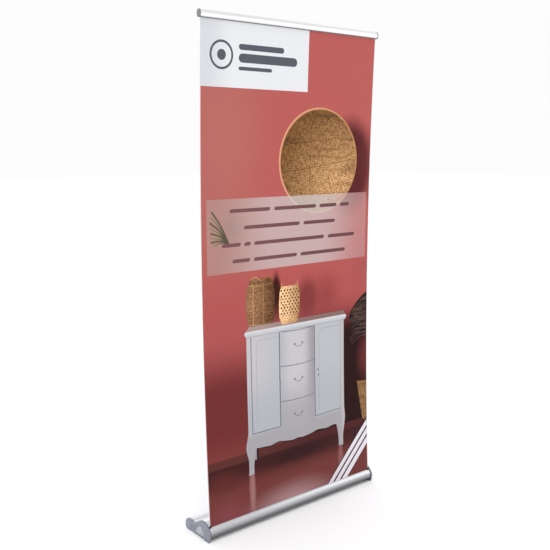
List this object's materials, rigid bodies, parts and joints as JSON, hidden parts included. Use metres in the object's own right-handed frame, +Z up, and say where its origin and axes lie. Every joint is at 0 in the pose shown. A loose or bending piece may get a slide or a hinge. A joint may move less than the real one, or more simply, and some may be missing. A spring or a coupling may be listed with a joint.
{
  "type": "roll-up banner stand",
  "caption": "Roll-up banner stand: wide contoured base cassette with a sprung roller, tall printed sheet, snap-open top rail and a telescopic support pole.",
  "frame": {"origin": "on the floor under the middle of the base's box", "axes": "+Z up, +X along the base to the right of someone facing the printed side, printed side faces -Y"},
  "size_m": [0.9422, 0.183, 2.0887],
  "materials": {
    "anodised": "satin silver anodised extrusion with fine lengthwise die lines",
    "tube": "satin drawn tube",
    "plating": "satin grey plated moulding",
    "moulding": "fine textured black moulding",
    "rail_caps": "grey moulding",
    "nylon": "natural nylon",
    "steel": "zinc plated",
    "rubber": "matt",
    "film": "satin printed film, plain white back",
    "leader": "plain film"
  },
  "bodies": {
    "base": {"housing": "anodised", "left_end_plate": "moulding", "right_end_plate": "moulding", "left_end_cap": "plating", "right_end_cap": "plating", "left_front_foot": "rubber", "left_rear_foot": "rubber", "right_front_foot": "rubber", "right_rear_foot": "rubber", "left_front_screw": "steel", "left_middle_screw": "steel", "left_rear_screw": "steel", "right_front_screw": "steel", "right_middle_screw": "steel", "right_rear_screw": "steel", "right_bearing_bush": "nylon", "spring_axle": "steel", "spring_anchor": "steel", "torsion_spring": "steel", "banner_sheet": "film", "pole_socket": "moulding"},
    "roller": {"roller_tube": "tube", "leader_wraps": "leader", "left_roller_plug": "nylon", "right_roller_plug": "nylon", "axle_support": "nylon"},
    "rail": {"rail_rear_body": "anodised", "rail_left_cap": "rail_caps", "rail_right_cap": "rail_caps", "rear_grip_strip": "rubber"},
    "rail_jaw": {"rail_front_jaw": "anodised", "front_grip_strip": "rubber"},
    "pole_lower": {"pole_lower_tube": "tube", "pole_foot_plug": "moulding"},
    "lower_collar": {"lower_twist_collar": "moulding"},
    "pole_middle": {"pole_middle_tube": "tube", "middle_tube_glide": "nylon"},
    "upper_collar": {"upper_twist_collar": "moulding"},
    "pole_upper": {"pole_upper_tube": "tube", "upper_tube_glide": "nylon", "pole_hook": "moulding"}
  },
  "joints": [
    {"name": "rail_travel", "type": "slide", "parent": "base", "child": "rail", "axis": [0, 0, 1], "range_m": [-1.9915, 0], "deforming": ["banner_sheet"]},
    {"name": "roller_spin", "type": "hinge", "parent": "base", "child": "roller", "pos_m": [0, -0.0531, 0.045], "axis": [1, 0, 0], "range_deg": [0, 6040]},
    {"name": "rail_snap", "type": "hinge", "parent": "rail", "child": "rail_jaw", "pos_m": [0, -0.077, 2.08219], "axis": [-1, 0, 0], "range_deg": [0, 60]},
    {"name": "pole_lift", "type": "slide", "parent": "base", "child": "pole_lower", "axis": [0, -0.0344, 0.9994], "range_m": [0, 2.1]},
    {"name": "lower_collar_twist", "type": "hinge", "parent": "pole_lower", "child": "lower_collar", "pos_m": [0, 0.0084, 0.68936], "axis": [0, -0.0344, 0.9994], "range_deg": [0, 90]},
    {"name": "pole_middle_slide", "type": "slide", "parent": "pole_lower", "child": "pole_middle", "axis": [0, -0.0344, 0.9994], "range_m": [-0.6, 0]},
    {"name": "upper_collar_twist", "type": "hinge", "parent": "pole_middle", "child": "upper_collar", "pos_m": [0, -0.01506, 1.37043], "axis": [0, -0.0344, 0.9994], "range_deg": [0, 90]},
    {"name": "pole_upper_slide", "type": "slide", "parent": "pole_middle", "child": "pole_upper", "axis": [0, -0.0344, 0.9994], "range_m": [-0.6, 0]}
  ],
  "couplings": [
    {"joint": "roller_spin", "follows": "rail_travel", "rad_per_m": -52.9}
  ]
}
